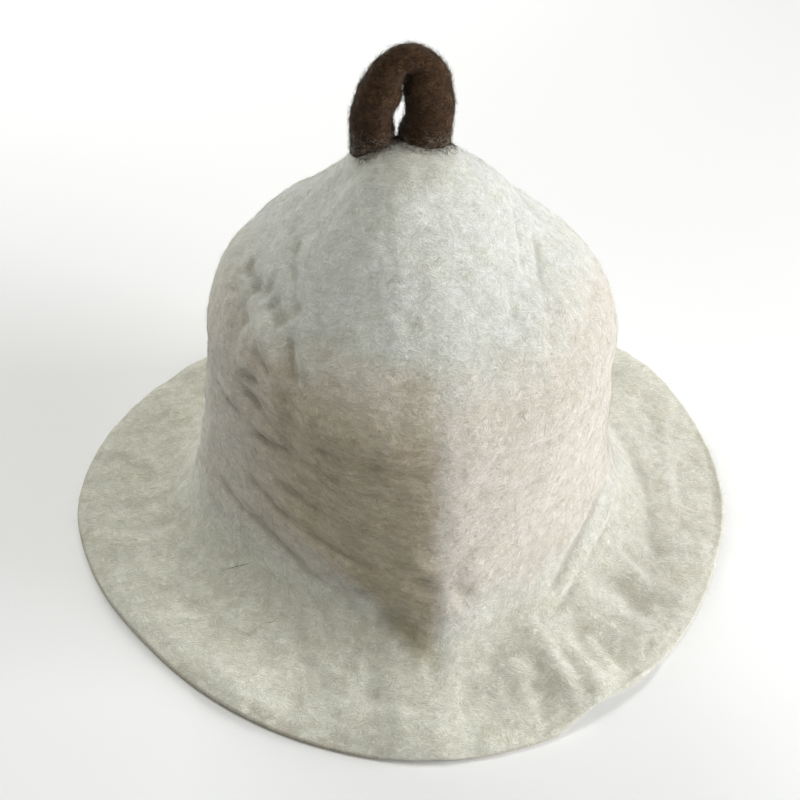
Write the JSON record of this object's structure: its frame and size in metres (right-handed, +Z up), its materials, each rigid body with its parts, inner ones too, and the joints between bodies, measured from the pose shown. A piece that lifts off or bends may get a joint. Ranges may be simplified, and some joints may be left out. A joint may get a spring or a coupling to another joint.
{
  "type": "felt sauna hat",
  "caption": "Hand-felted bell-shaped sauna hat with a wide brim and a thick felt hanging loop on top, to be worn on the head.",
  "frame": {"origin": "middle of the hat's bounding box, on the plane that the brim rests on", "axes": "+Z up through the crown, -Y to the front of the hat, +X to the right as seen from the front"},
  "size_m": [0.3214, 0.3124, 0.2525],
  "materials": {
    "white_felt": "matte, fibrous wool felt",
    "brown_felt": "matte, fibrous wool felt"
  },
  "bodies": {
    "root": {"felt_body": "white_felt", "hanging_loop": "brown_felt"}
  },
  "joints": []
}
